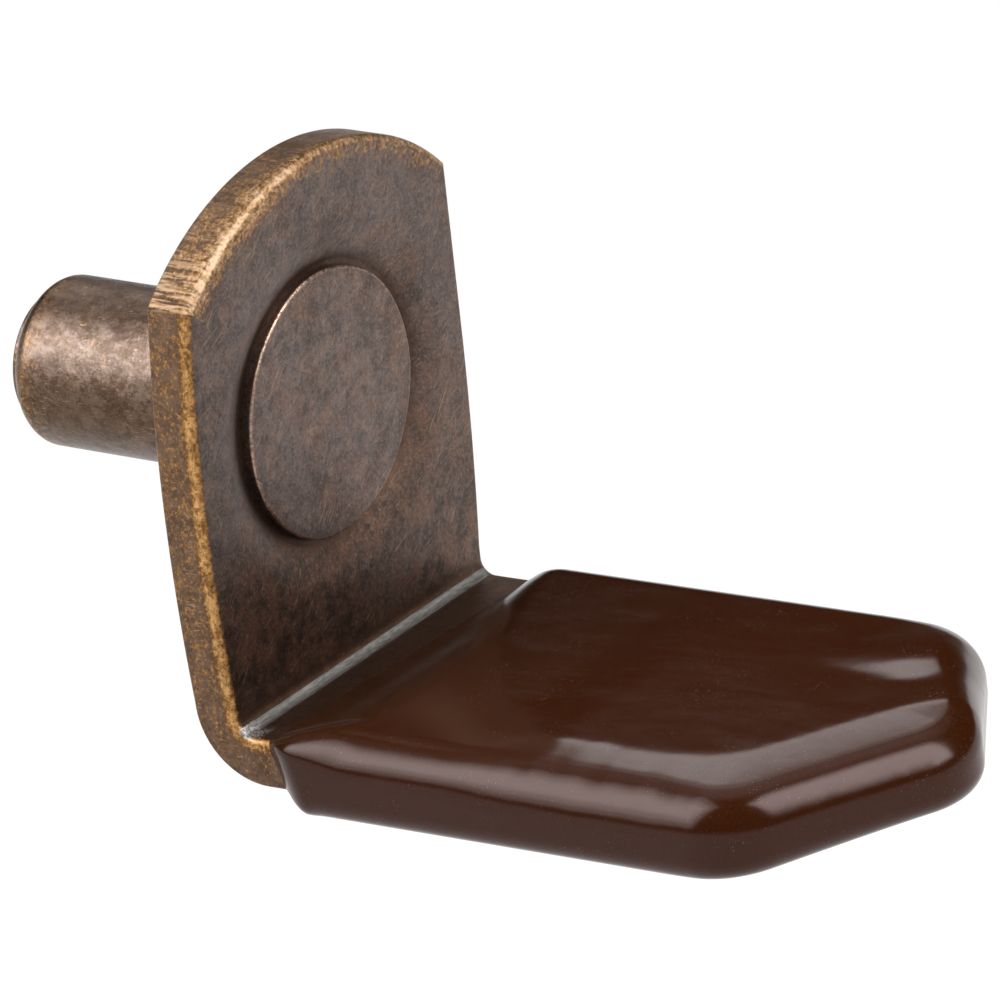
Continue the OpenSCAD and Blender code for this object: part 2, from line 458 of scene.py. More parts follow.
foot = [front_rings[-1][i] for i in range(LEFT_FOOT, RIGHT_FOOT + 1)]
foot += [ring[RIGHT_FOOT] for ring in edge_rings]
foot += [back_rings[-1][i] for i in range(RIGHT_FOOT, LEFT_FOOT - 1, -1)]
foot += [ring[LEFT_FOOT] for ring in reversed(edge_rings)]
sections = [foot]
fold_length = 2 * EASE_UP + FOLD_R * FOLD_TURN
for share in np.linspace(0, 1, FOLD_STATIONS + 1)[1:]:
    rear = outer_c + OUTER_R * turned(FOLD_TURN * share)
    sections.append(section_ring(inner_path(share), rear, HALF_STRIP, share * fold_length))
arm_front = inner_path(1.0)
arm_rear = outer_c + OUTER_R * turned(FOLD_TURN)
stops = list(np.linspace(0, ARM_STRAIGHT - EASE_UP, ARM_STATIONS + 1)[1:])
stops.append(ARM_STRAIGHT - EASE_UP + ARM_POINT * (1 - BLUNT_HALF / HALF_STRIP))
for stop in stops:
    tapered = min(1.0, (ARM_STRAIGHT - EASE_UP + ARM_POINT - stop) / ARM_POINT)
    step = along_arm * stop
    hidden = HIDDEN_INSET * ease((stop - 2) / 3)
    half = (HALF_STRIP - hidden) * tapered
    sections.append(section_ring(arm_front + step, arm_rear + step, half, fold_length + stop))
sheet.join(sections)
sheet.faces.append(tuple(sections[-1]))
bracket = make_piece("bracket_sheet", sheet.points, sheet.faces, sheet.marks)

# %% [markdown]
# ## The pin
#
# The pin was turned from rod and then riveted, so it is one round form: a shank with a small step
# left on its rounded end, a tenon through the leg, and the head that the press spread over the seat.
# A lathe makes it: one profile, turned about the axis. The head is very slightly domed, and its rim
# wavers, because it was pressed and not turned.

# %% Turn the pin
TURN_STEPS = 240
END_ROUND = 0.55
STEP_R = 2.0
STEP_H = 0.23
STEP_ROUND = 0.07
HEAD_RIM = 0.1
HEAD_DOME = 0.03
PIN_END = PIN_HIGH.y
HEAD_FRONT = PIN_LOW.y
SHOULDER_Y = -0.3
SEAT_Y = -0.85


def arc_points(centre_r, centre_y, radius, start, end, steps=8):
    """Profile points (radius, y) along an arc; angles run from the outward direction to +Y."""
    angles = np.radians(np.linspace(start, end, steps + 1))
    return [(centre_r + radius * math.cos(a), centre_y + radius * math.sin(a)) for a in angles]


shank_end = PIN_END - STEP_H
turned_profile = [(0.0, PIN_END), (STEP_R * 0.5, PIN_END)]
turned_profile += arc_points(STEP_R - STEP_ROUND, PIN_END - STEP_ROUND, STEP_ROUND, 90, 0, 5)
turned_profile += [(STEP_R, shank_end + 0.02), (STEP_R + 0.03, shank_end)]
turned_profile += arc_points(SHANK_R - END_ROUND, shank_end - END_ROUND, END_ROUND, 78, 0, 10)
turned_profile += [(SHANK_R, y) for y in np.linspace(shank_end - END_ROUND, SHOULDER_Y, 24)[1:]]
turned_profile += [(TENON_R, SHOULDER_Y), (TENON_R, SEAT_Y), (HEAD_R - 0.02, SEAT_Y)]
turned_profile += arc_points(HEAD_R - HEAD_RIM, HEAD_FRONT + HEAD_RIM, HEAD_RIM, 0, -90, 6)
for share in np.linspace(0.9, 0.0, 10):
    turned_profile.append((HEAD_R * share, HEAD_FRONT - HEAD_DOME * (1 - share ** 2)))

turns = np.linspace(0, 2 * math.pi, TURN_STEPS, endpoint=False)
rim_waver = 0.004 * np.sin(3 * turns + 0.6) + 0.003 * np.sin(7 * turns + 2.0)
rod = Builder("rim")
rod_rings = []
for radius, y in turned_profile:
    outer = ease((radius - HEAD_R * 0.8) / (HEAD_R * 0.2)) if y < 0 else 0.0
    on_rim = outer * (y < HEAD_FRONT + 0.6 * HEAD_RIM)
    waver = 1 + rim_waver * outer
    ring_points = np.stack(
        [radius * waver * np.cos(turns), np.full(TURN_STEPS, y), radius * waver * np.sin(turns)], 1
    )
    rod_rings.append(rod.ring(ring_points, rim=on_rim))
rod.join(rod_rings)
pin = make_piece("riveted_pin", rod.points, rod.faces, rod.marks, crease_angle=40)

# %% [markdown]
# ## The vinyl coat
#
# The arm was dipped in liquid vinyl, which set as a smooth skin. Surface tension rounds its edges and
# starts it thin at the fold, where its lip feathers out on the metal and runs later on the far side.
# A thickened and bevelled copy of the arm would show its corners through the gloss. The clearest way
# to model such a skin is a rule that tells how far any point lies outside it. Rays sent out from
# inside the arm then find the skin, and fans of rays round the rim follow its rounding. Seen from
# above, the coat's outline is the arm's, set out by the coat's thickness, with round corners.

# %% The coat's outline
COAT = 0.62
CLEAR = 0.003
COAT_W = HALF_STRIP + COAT - CLEAR
COAT_START = 1.05 - FOLD_R
CORNER_R = 1.75
TIP_R = 2.52
diagonal_out = np.array([ARM_POINT, HALF_STRIP]) / math.hypot(ARM_POINT, HALF_STRIP)
DIAGONAL_REACH = diagonal_out @ [HALF_STRIP, ARM_STRAIGHT] + COAT


def rounded_outline(x, s, radius):
    """Signed distance, seen from above, to the coat's pointed outline with rounded corners."""
    half = COAT_W - radius
    reach = DIAGONAL_REACH - radius
    shoulder = np.array([half, (reach - diagonal_out[0] * half) / diagonal_out[1]])
    tip = np.array([0.0, reach / diagonal_out[1]])
    x = np.abs(x)
    side = x - half
    diagonal = diagonal_out[0] * x + diagonal_out[1] * s - reach
    inside = np.maximum(side, diagonal)
    edge = tip - shoulder
    share = ((x - shoulder[0]) * edge[0] + (s - shoulder[1]) * edge[1]) / (edge @ edge)
    share = np.clip(share, 0, 1)
    to_edge = np.hypot(x - shoulder[0] - share * edge[0], s - shoulder[1] - share * edge[1])
    to_side = np.hypot(x - half, np.maximum(s - shoulder[1], 0))
    outside = np.minimum(to_edge, to_side)
    return np.where(inside < 0, inside, outside) - radius


print("coat:", round(2 * COAT_W, 3), "mm wide, its first edge", round(COAT_START, 2), "mm past the fold")

# %% [markdown]
# While the vinyl set it gathered on the top towards the point, and stands fuller there than near the
# fold. It falls away from a soft knee that runs along the near side and round the point, and a soft
# bead was left by the far shoulder. The knee bends tightly enough to catch a highlight of its own,
# and it wavers, as a liquid's edge does. Sculpting could give such forms too, but on gloss every
# dent of a sculpting tool shows, and a rule stays smooth.

# %% The fullness of the top
CROWN_H = 0.21
CROWN_START = 6.8
CROWN_RUN = 3
HIGHEST_X = -1.5
KNEE_IN = 2.35
KNEE_SOFT = 0.1
KNEE_CORNER = 0.55
KNEE_SLOPE = 0.13
KNEE_CURVE = 0.02
FAR_PULL = 0.35
BEAD_AT = (3.4, 16.1)
BEAD_R = 1.9
BEAD_BACK_R = 3.0
BEAD_H = 0.175


def bead(x, s):
    """A soft swelling by the far shoulder, steeper on its near side than on its far one."""
    across = x - BEAD_AT[0]
    along = s - BEAD_AT[1]
    behind = ease(0.5 + (0.8 * across - 0.6 * along) / 2)
    radius = BEAD_R + (BEAD_BACK_R - BEAD_R) * behind
    return BEAD_H * np.maximum(1 - (across ** 2 + along ** 2) / radius ** 2, 0) ** 2


def from_knee(x, s):
    """How far a point lies outside the knee, which follows the near side and the point."""
    waver = 0.04 * np.sin(2.1 * s) + 0.02 * np.sin(5.3 * s + 1)
    from_side = COAT_W + x + 0.2 + waver
    from_point = DIAGONAL_REACH - diagonal_out[1] * s + diagonal_out[0] * x
    from_point = from_point + FAR_PULL * np.maximum(x, 0) ** 1.5
    closeness = [np.exp(-np.clip(edge, -1, 20) / KNEE_CORNER) for edge in (from_side, from_point)]
    return KNEE_IN + KNEE_CORNER * np.log(sum(closeness))


def top_crown(x, s):
    """How much fuller the top is towards the point than the plain coat."""
    past_knee = from_knee(x, s)
    bend = KNEE_SOFT * np.log1p(np.exp(np.clip(past_knee / KNEE_SOFT, -30, 30)))
    sunk = KNEE_SLOPE * bend + KNEE_CURVE * np.maximum(past_knee, 0) ** 2
    from_highest = np.clip((x - HIGHEST_X) / (HALF_STRIP - HIGHEST_X), 0, 1)
    return (CROWN_H * (1 - from_highest ** 2) - sunk) * ease((s - CROWN_START) / CROWN_RUN)


print("fullness over the middle of the top:", round(float(top_crown(0.0, 12.0)), 3), "mm")

# %% [markdown]
# The skin's rule puts these together. Along each way into the arm it knows how thick the coat is
# above, below and beside the sheet, and how round its edges are. The upper edge starts nearly sharp
# at the mouth and grows round as the coat grows thick, slowest of all on the near side.

# %% The rule for the skin
SIDE_LIP = 0.05
TOP_LIP = 0.02
FEATHER_FROM = -6.2
FEATHER_TO = 5.6
MOUTH_SKEW = 0.65
MOUTH_LEAN = 0.42
SIDE_RUN = 1.1
TOP_RUN = 1.3
UNDER_RUN = 1.5
EDGE_RUN = 1.2
EDGE_START_R = 0.08
EDGE_TOP_R = 1.2
POINT_EDGE_R = 1.0
FAR_ROUNDER = 0.4
UNDER_START_R = 0.25
EDGE_UNDER_R = 0.75
UNDER_THINNER = 0.045
TIP_RISE = 0.3


def swell(run, length):
    """How full the coat is, from 0 at its first edge to 1 a length further on."""
    return np.sin(np.pi / 2 * np.clip(run / length, 0, 1))


def top_thickness(x, s, run, nearness):
    """The coat above the sheet: a lip that feathers out in its middle, then full and crowned."""
    feathered = ease((x - FEATHER_FROM) / 1.5) * ease((FEATHER_TO - x) / 4.5)
    grown = swell(run, TOP_RUN + 1.2 * nearness + feathered) ** (1 + feathered)
    return TOP_LIP + (COAT - TOP_LIP) * grown + top_crown(x, s) + bead(x, s)


def under_thickness(s, side_t):
    """The coat below the sheet, which thins out and rises towards the tip."""
    rise = TIP_RISE * ease((s - ARM_STRAIGHT + 2) / (ARM_POINT + 2))
    return np.minimum(side_t, COAT - UNDER_THINNER) - rise


def top_rounding(x, s, run, nearness):
    """The radius of the upper edge, rounder on the far side of the point."""
    on_point = ease((s - ARM_STRAIGHT + 2.5) / 3)
    rounder = FAR_ROUNDER * ease((x - 1) / 4) * on_point
    full = EDGE_TOP_R + (POINT_EDGE_R - EDGE_TOP_R) * on_point + rounder
    near = nearness ** 3
    return EDGE_START_R + (full - EDGE_START_R) * swell(run, EDGE_RUN + 2 * near) ** (1 + 0.35 * near)


def skin(x, s, z):
    """Signed distance from the coat's skin at x across, s along and z above the arm's middle."""
    nearness = np.clip(0.5 - x / (2 * HALF_STRIP), 0, 1)
    lean = MOUTH_LEAN * np.clip(0.5 - z / SHEET, 0, 1)
    run = s - COAT_START - MOUTH_SKEW * (1 - nearness) - lean
    side_t = SIDE_LIP + (COAT - SIDE_LIP) * swell(run, SIDE_RUN)
    outline = np.maximum(rounded_outline(x, s, CORNER_R), rounded_outline(x, s, TIP_R))
    outline = outline + COAT - side_t
    above = z > 0
    thick = np.where(above, top_thickness(x, s, run, nearness), under_thickness(s, side_t))
    half = SHEET / 2 + thick
    under_r = UNDER_START_R + (EDGE_UNDER_R - UNDER_START_R) * swell(run, UNDER_RUN)
    edge_r = np.where(above, top_rounding(x, s, run, nearness), under_r)
    out = outline + edge_r
    over = np.abs(z) - half + edge_r
    outside = np.hypot(np.maximum(out, 0), np.maximum(over, 0))
    return outside + np.minimum(np.maximum(out, over), 0) - edge_r


print("coat from", SIDE_LIP, "to", COAT, "mm thick at its sides")

# %% [markdown]
# The rim is walked from the fold's end to the tip, and each station sends out one closed ring of
# rays: a fan round the right rim, rays straight down, a fan round the left rim and rays straight up.
# Where the walk is straight the stations are far apart, and they close up round the corners. The
# coat's inside is a plain pocket just within the sheet, so that the coat is closed and can't be seen
# through at its mouth.

# %% Walk the rim and cast the rays
CORE_INSET = 1.3
POCKET_GAP = 0.05
POCKET_SUNK = 0.03
POCKET_STEEP = 2.2
FAN_STEPS = 40
ACROSS_STEPS = 80
SIDE_STATIONS = 110
ARC_STATIONS = 22
DIAGONAL_STATIONS = 46
MARCHES = 40


def rim_arc(centre, radius, start, end, count, to_end):
    """Stations round a corner of the core, and the outward direction at each."""
    angles = np.linspace(start, end, count, endpoint=to_end)
    ways = np.stack([np.cos(angles), np.sin(angles)], 1)
    return [(centre + way * radius, way) for way in ways]


def rim_walk():
    """Core points and outward directions of the rim's half with x > 0, from the fold to the tip."""
    corner_r = CORNER_R - CORE_INSET
    tip_r = TIP_R - CORE_INSET
    turn = math.atan2(diagonal_out[1], diagonal_out[0])
    half = COAT_W - CORNER_R
    reach = DIAGONAL_REACH - CORNER_R
    corner = np.array([half, (reach - diagonal_out[0] * half) / diagonal_out[1]])
    tip = np.array([0.0, (DIAGONAL_REACH - TIP_R) / diagonal_out[1]])
    start = corner + diagonal_out * corner_r
    end = tip + diagonal_out * tip_r
    walk = []
    for share in np.linspace(0, 1, SIDE_STATIONS, endpoint=False):
        s = COAT_START + (corner[1] - COAT_START) * (0.75 * share + 0.25 * share ** 2)
        walk.append((np.array([half + corner_r, s]), np.array([1.0, 0.0])))
    walk += rim_arc(corner, corner_r, 0, turn, ARC_STATIONS, False)
    for share in np.linspace(0, 1, DIAGONAL_STATIONS, endpoint=False):
        walk.append((start + (end - start) * share, diagonal_out))
    return walk + rim_arc(tip, tip_r, turn, math.pi / 2, ARC_STATIONS, True)


def cast(starts, directions):
    """March rays from inside the arm until they meet the skin."""
    travelled = np.zeros(len(starts))
    for _ in range(MARCHES):
        places = starts + directions * travelled[:, None]
        travelled -= 0.9 * skin(places[:, 0], places[:, 1], places[:, 2])
    return starts + directions * travelled[:, None]


arm_up = np.array([math.sin(ARM_LIFT), math.cos(ARM_LIFT)])
ARM_MIDDLE = -FOLD_R - SHEET / 2


def on_arm(places):
    """Points in the part's frame from x across, s along and z above the arm's middle."""
    side_view = fold_c + places[:, 1:2] * along_arm + (places[:, 2:3] + ARM_MIDDLE) * arm_up
    return np.column_stack([places[:, 0], side_view])


def coat_rays(core, out):
    """Starts and directions of one closed ring of rays, round the section at a station."""
    across = np.linspace(1, -1, ACROSS_STEPS + 1)[1:-1] * core[0]
    right = []
    for angle in np.linspace(math.pi / 2, -math.pi / 2, FAN_STEPS + 1):
        level = math.cos(angle)
        right.append(((core[0], core[1], 0), (out[0] * level, out[1] * level, math.sin(angle))))
    under = [((x, core[1], 0), (0, 0, -1)) for x in across]
    left = [((-core[0], core[1], 0), (-d[0], d[1], d[2])) for _, d in reversed(right)]
    over = [((x, core[1], 0), (0, 0, 1)) for x in reversed(across)]
    rays = right + under + left + over
    return np.array([start for start, _ in rays]), np.array([way for _, way in rays])


def skewed(places, directions):
    """The coat's first edge starts later at the far side, and later below than above."""
    share = np.clip(0.5 + places[:, 0] / (2 * HALF_STRIP), 0, 1)
    lower = np.clip(0.5 - directions[:, 2], 0, 1)
    fade = 1 - ease((places[:, 1] - COAT_START) / 6)
    moved = places.copy()
    moved[:, 1] += (MOUTH_SKEW * share + MOUTH_LEAN * lower) * fade
    return moved


def pocket_ring(core, out):
    """The inside of the coat at a station: just within the sheet's own outline."""
    starts, directions = coat_rays(core, out)
    reach = CORE_INSET - COAT - POCKET_GAP
    level = np.hypot(directions[:, 0], directions[:, 1]) > 1e-6
    on_right = np.arange(len(starts)) < FAN_STEPS + 1
    side = np.sign(starts[:, 0] + 1e-9 * np.where(on_right, 1, -1))
    places = starts.copy()
    places[:, 0] += np.where(level, side * out[0] * reach, 0)
    places[:, 1] += np.where(level, out[1] * reach, 0)
    height = np.clip(directions[:, 2] * POCKET_STEEP, -1, 1)
    places[:, 2] = height * (SHEET / 2 - POCKET_SUNK)
    return skewed(places, directions)


coat = Builder("run")
stations = rim_walk()
outer_rings = []
for core, out in stations:
    starts, directions = coat_rays(core, out)
    places = cast(skewed(starts, directions), directions)
    outer_rings.append(coat.ring(on_arm(places), run=places[:, 1] - COAT_START))
pocket_stations = stations[::12] + [stations[-1]]
inner_rings = [coat.ring(on_arm(pocket_ring(core, out))) for core, out in pocket_stations]
coat.join(inner_rings[::-1] + outer_rings)
coating = make_piece("dipped_coat", coat.points, coat.faces, coat.marks, crease_angle=60)

# %% [markdown]
# ## Helpers for finishes
#
# Every finish is procedural: its colour, roughness and tiny relief come from noise in the piece's own
# coordinates and from the marks that the meshes carry. Painted images could hold them too, but noise
# stays sharp from any distance and needs no unwrapping. Sizes in the finishes are in millimetres, so
# a blotch of 2 is two millimetres wide. The class below keeps each finish short to write. Its span
# turns any value into a share, and its paint lays a colour over another where all its shares agree.

# %% Finish helpers
def feed(tree, socket, value):
    """Links a value that varies, or sets a plain one."""
    if isinstance(value, bpy.types.NodeSocket):
        tree.links.new(value, socket)
    else:
        socket.default_value = value


def add_node(tree, kind, inputs=None, **settings):
    """A new node with its settings, its inputs linked or set."""
    node = tree.nodes.new("ShaderNode" + kind)
    for setting, value in settings.items():
        setattr(node, setting, value)
    for socket, value in (inputs or {}).items():
        feed(tree, node.inputs[socket], value)
    return node


class Finish:
    """One procedural material, built up value by value."""

    def __init__(self, name):
        self.material = bpy.data.materials.new(name)
        self.material.use_nodes = True
        self.tree = self.material.node_tree
        self.shader = self.tree.nodes["Principled BSDF"]
        object_place = self.node("TexCoord").outputs["Object"]
        self.place = self.node("VectorMath", {0: object_place, 3: 1 / MM}, operation="SCALE").outputs[0]
        self.x, self.y, self.z = self.node("SeparateXYZ", {0: self.place}).outputs

    def node(self, kind, inputs=None, **settings):
        return add_node(self.tree, kind, inputs, **settings)

    def surface(self, **values):
        """Sets the shader's sockets, named with lines for spaces."""
        for name, value in values.items():
            feed(self.tree, self.shader.inputs[name.replace("_", " ")], value)

    def mark(self, name):
        """A number that the mesh carries on its points."""
        return self.node("Attribute", attribute_name=name).outputs["Fac"]

    def calc(self, operation, first, second=0.0, third=0.0):
        """One step of arithmetic."""
        inputs = {0: first, 1: second, 2: third}
        return self.node("Math", inputs, operation=operation).outputs[0]

    def times(self, first, *others):
        """The product of several values."""
        for other in others:
            first = self.calc("MULTIPLY", first, other)
        return first

    def span(self, value, low, high, at_low=0.0, at_high=1.0):
        """A value that goes smoothly from at_low to at_high as another goes from low to high."""
        inputs = {0: value, 1: low, 2: high, 3: at_low, 4: at_high}
        return self.node("MapRange", inputs, interpolation_type="SMOOTHSTEP").outputs[0]

    def blend(self, share, first, second):
        """A colour between two others."""
        first = first if isinstance(first, bpy.types.NodeSocket) else (*first, 1)
        second = second if isinstance(second, bpy.types.NodeSocket) else (*second, 1)
        mixer = self.node("Mix", {0: share, 6: first, 7: second}, data_type="RGBA")
        return mixer.outputs[2]

    def paint(self, under, colour, *shares):
        """A colour laid over another, as strongly as its shares multiplied together."""
        return self.blend(self.times(*shares), under, colour)

    def noise(self, size, stretch=(1, 1, 1), turn=(0, 0, 0), detail=4, rough=0.6, shift=0.0):
        """Noise whose grains are size wide, stretched along the axes after a turn in degrees."""
        angles = [math.radians(angle) for angle in turn]
        spun = self.node("Mapping", {0: self.place, 2: angles}).outputs[0]
        scale = [1 / (size * along) for along in stretch]
        spread = self.node("Mapping", {0: spun, 1: (shift, shift, shift), 3: scale}).outputs[0]
        inputs = {"Vector": spread, "Scale": 1.0, "Detail": detail, "Roughness": rough}
        return self.node("TexNoise", inputs).outputs[0]

    def relief(self, height, depth_mm, under=None):
        """Tiny bumps, laid over others if given."""
        inputs = {"Height": height, "Distance": depth_mm * MM, "Strength": 1.0}
        if under is not None:
            inputs["Normal"] = under
        return self.node("Bump", inputs).outputs[0]


print("finish helpers ready")

# %% [markdown]
# ## Antique brass
#
# The metal was plated, darkened in a bath and then tumbled. Tumbling rubs the dark patina through to
# gold wherever the piece touched others: on edges and corners first, in specks on the flat faces
# last. The patina itself is uneven. Broad blotches go from nearly black to grey brown, clouds warm or
# darken them, the hue wanders between ruddy and bluish grey, and the finest mottling is coppery. A
# grain of dark and light points lies over all of it. One recipe makes both metal finishes.

# %% The patina recipe
PATINA_DARK = (0.080, 0.054, 0.042)
PATINA_GREY = (0.144, 0.108, 0.096)
PATINA_COPPER = (0.250, 0.152, 0.105)
PATINA_WARM = (0.190, 0.100, 0.062)
PATINA_RUDDY = (0.175, 0.092, 0.066)
PATINA_BLUE = (0.106, 0.092, 0.092)
GRAIN_DARK = (0.050, 0.035, 0.028)
GRAIN_LIGHT = (0.265, 0.197, 0.155)


def patina(finish):
    """The darkened skin's colour, and the mottling in it that later steps follow."""
    blotches = finish.noise(2.6, detail=4, rough=0.6, shift=3.0)
    clouds = finish.noise(1.3, detail=6, rough=0.65, shift=61.0)
    hues = finish.noise(0.9, detail=6, rough=0.7, shift=83.0)
    mottling = finish.noise(0.5, detail=7, rough=0.75, shift=11.0)
    base = finish.blend(finish.span(blotches, 0.3, 0.62), PATINA_DARK, PATINA_GREY)
    for colour, noise, from_value, full_at, most in (
        (PATINA_WARM, clouds, 0.52, 0.66, 0.55),
        (PATINA_DARK, clouds, 0.46, 0.34, 0.45),
        (GRAIN_DARK, mottling, 0.5, 0.38, 0.55),
        (PATINA_RUDDY, hues, 0.5, 0.64, 0.34),
        (PATINA_BLUE, hues, 0.5, 0.38, 0.3),
        (PATINA_COPPER, mottling, 0.5, 0.66, 0.5),
    ):
        base = finish.paint(base, colour, finish.span(noise, from_value, full_at, 0.0, most))
    return base, mottling


def grainy(finish, base, grain):
    """Fine dark and light grain over a colour, as the bath and the tumbling leave it."""
    base = finish.paint(base, GRAIN_DARK, finish.span(grain, 0.5, 0.36, 0.0, 0.7))
    return finish.paint(base, GRAIN_LIGHT, finish.span(grain, 0.5, 0.66, 0.0, 0.6))


print("patina colours:", PATINA_DARK, PATINA_GREY, PATINA_COPPER)

# %% [markdown]
# Handling adds sparse hair scratches, in two directions. Gold comes last: wherever a wear value is
# high the patina is through, and fine specks break its border. The shader treats the patina as a
# thin dull oxide on metal and the gold as bare metal.

# %% Scratches, gold and the metal's shader
SCRATCHED = (0.46, 0.29, 0.19)
SCRATCH_DEPTH = 0.65
GOLD_DEEP = (0.30, 0.145, 0.042)
GOLD_BRIGHT = (0.80, 0.55, 0.36)
GOLD_SIDE = (0.68, 0.39, 0.155)


def hair_scratches(finish, angle, shift):
    """Sparse fine lines that rise at an angle, in patches."""
    lines = finish.noise(0.04, stretch=(34, 8, 1), turn=(0, angle, 0), detail=1, shift=shift)
    patches = finish.noise(0.9, shift=shift + 7)
    return finish.times(finish.span(lines, 0.63, 0.72), finish.span(patches, 0.5, 0.66))


def scratched(finish, base, shift):
    """Hair scratches over a colour, some of them steeper than the others."""
    level = hair_scratches(finish, 25, shift)
    steep = hair_scratches(finish, 50, shift + 20)
    return finish.paint(base, SCRATCHED, finish.calc("MAXIMUM", level, steep), SCRATCH_DEPTH)


def gild(finish, base, wear, specks, bright=GOLD_BRIGHT):
    """Gold over the patina where it is worn; returns the colour and how much of it is gold."""
    scattered = finish.calc("ADD", wear, finish.calc("MULTIPLY_ADD", specks, 3.4, -1.7))
    amount = finish.span(scattered, 0.34, 0.64)
    gold = finish.blend(finish.span(scattered, 0.45, 1.45), GOLD_DEEP, bright)
    return finish.paint(base, gold, amount), amount


def metal_shader(finish, colour, gold, mottling, rough, normal):
    """Sets the shader: the patina is a thin dull oxide on metal, and the gold is bare metal."""
    metallic = finish.span(gold, 0.0, 1.0, 0.86, 1.0)
    roughness = finish.span(mottling, 0.3, 0.7, *rough)
    finish.surface(Base_Color=colour, Metallic=metallic, Roughness=roughness, Normal=normal)
    return finish.material


print("gold from", GOLD_DEEP, "to", GOLD_BRIGHT)

# %% [markdown]
# ## The bracket's wear
#
# The bracket wears in three places. Its crown's rolled front edge is rubbed bright, with specks to
# both sides of it. The cut sides are specked with gold all over, and thickly along their front half,
# with a thin line at the back. And the front edge of the fold is bared to a gold line. The side that
# was handled most is worn most. A shader can find edges by itself, but not tell one from another, so
# the wear is worked out from the marks: inset, across, crown and along.

# %% Where the bracket is worn
def side_wear(finish, inset, across):
    """Gold on the cut edges: a thick band along the front, a thin line at the back."""
    on_cut = finish.span(inset, 0.02, 0.2, 1.0, 0.0)
    band = finish.span(across, 0.69, 0.83, 0.33, 0.84)
    back_line = finish.span(across, 0.12, 0.0, 0.0, 0.6)
    near = finish.span(finish.x, -4.0, 4.0, 1.0, 0.6)
    above_fold = finish.span(finish.z, -9.2, -6.5, 0.5, 1.0)
    return finish.times(finish.calc("MAXIMUM", band, back_line), on_cut, near, above_fold)


def crown_wear(finish, inset, across, crown):
    """Gold on the crown: a bright ridge along the roll, and specks to both sides of it."""
    ridge = finish.times(finish.span(inset, 0.13, 0.3, 1.2, 0.0), finish.span(across, 0.8, 0.9))
    forward = finish.span(across, 0.4, 0.88, 0.56, 1.0)
    beside = finish.times(finish.span(inset, 0.3, 1.1, 0.76, 0.0), forward)
    near = finish.span(finish.x, -4.0, 3.5, 1.0, 0.55)
    return finish.times(finish.calc("MAXIMUM", ridge, beside), near, crown)


def bracket_wear(finish, inset, across, crown, along):
    """How far the patina is worn through anywhere on the bracket, in patches."""
    at_fold = finish.times(finish.span(along, 0.85, 1.0), finish.span(across, 0.8, 0.95))
    fold_line = finish.times(at_fold, finish.span(inset, 0.05, 0.2, 1.1, 0.0))
    on_side = finish.calc("MAXIMUM", side_wear(finish, inset, across), fold_line)
    anywhere = finish.calc("MAXIMUM", on_side, crown_wear(finish, inset, across, crown))
    patches = finish.noise(0.7, detail=3, shift=53.0)
    return finish.times(anywhere, finish.span(patches, 0.3, 0.7, 0.75, 1.2))


print("wear rules ready")

# %% [markdown]
# ## The bracket's skin
#
# Under the gold the patina changes over the bracket. The bath stood longest round the fold, so the
# lower leg is a smoky brown, sooty in places and rusty in others, and warmer on the far side, which
# also carries painted shade. The cut edges took the bath as two browns, with a deep one along the
# front band. The pressed seat round the head and the inside of the fold are darkened with painted shade.

# %% The skin under the gold
FOOT_BROWNS = ((0.047, 0.023, 0.013), (0.148, 0.064, 0.035))
SOOT = (0.040, 0.021, 0.012)
RUST = (0.155, 0.066, 0.036)
CUT_BROWN = (0.128, 0.072, 0.040)
CUT_STAINS = ((0.072, 0.038, 0.019), (0.165, 0.098, 0.060))
BAND_BROWN = (0.115, 0.048, 0.011)
# The colour of painted shade in the pressed seat and the inside of the fold.
RECESS_SHADE_BROWN = (0.068, 0.036, 0.021)


def browned(finish, base, smoke, low):
    """The patina browned towards the fold, warmer towards the far side, and darkened there with painted
    shade.
    """
    near_half = finish.span(finish.x, 3.5, -2.0, 0.25, 0.85)
    foot = finish.blend(finish.span(smoke, 0.38, 0.64), *FOOT_BROWNS)
    base = finish.paint(base, foot, low, near_half)
    # Painted shade: the far side of the leg is darkened.
    base = finish.paint(base, PATINA_DARK, finish.span(finish.x, 0.0, 5.5, 0.0, 0.25))
    far = finish.span(finish.x, 0.0, 4.0)
    lower_half = finish.span(finish.z, 0.5, -2.5)
    return finish.paint(base, PATINA_WARM, far, lower_half, finish.span(smoke, 0.42, 0.62, 0.0, 0.6))


def bracket_skin(finish, on_cut, on_band, grain):
    """The bracket's colour before any gold, with painted shade in the seat and the fold, and its
    mottling.
    """
    base, mottling = patina(finish)
    smoke = finish.noise(0.6, detail=7, rough=0.75, shift=91.0)
    low = finish.span(finish.z, -1.5, -4.5)
    base = browned(finish, base, smoke, low)
    base = finish.paint(base, CUT_BROWN, on_cut, 0.7)
    base = grainy(finish, base, grain)
    base = finish.paint(base, SOOT, low, finish.span(smoke, 0.5, 0.4, 0.0, 0.5))
    base = finish.paint(base, RUST, low, finish.span(smoke, 0.55, 0.66, 0.0, 0.35))
    stain = finish.blend(finish.span(mottling, 0.42, 0.6), *CUT_STAINS)
    base = finish.paint(base, stain, on_cut, 0.45)
    base = finish.paint(base, BAND_BROWN, on_band)
    base = scratched(finish, base, 0.0)
    # Painted shade: the pressed seat and the inside of the fold are darkened.
    return finish.paint(base, RECESS_SHADE_BROWN, finish.mark("recess"), 0.75), mottling


print("skin colours by the fold:", *FOOT_BROWNS)
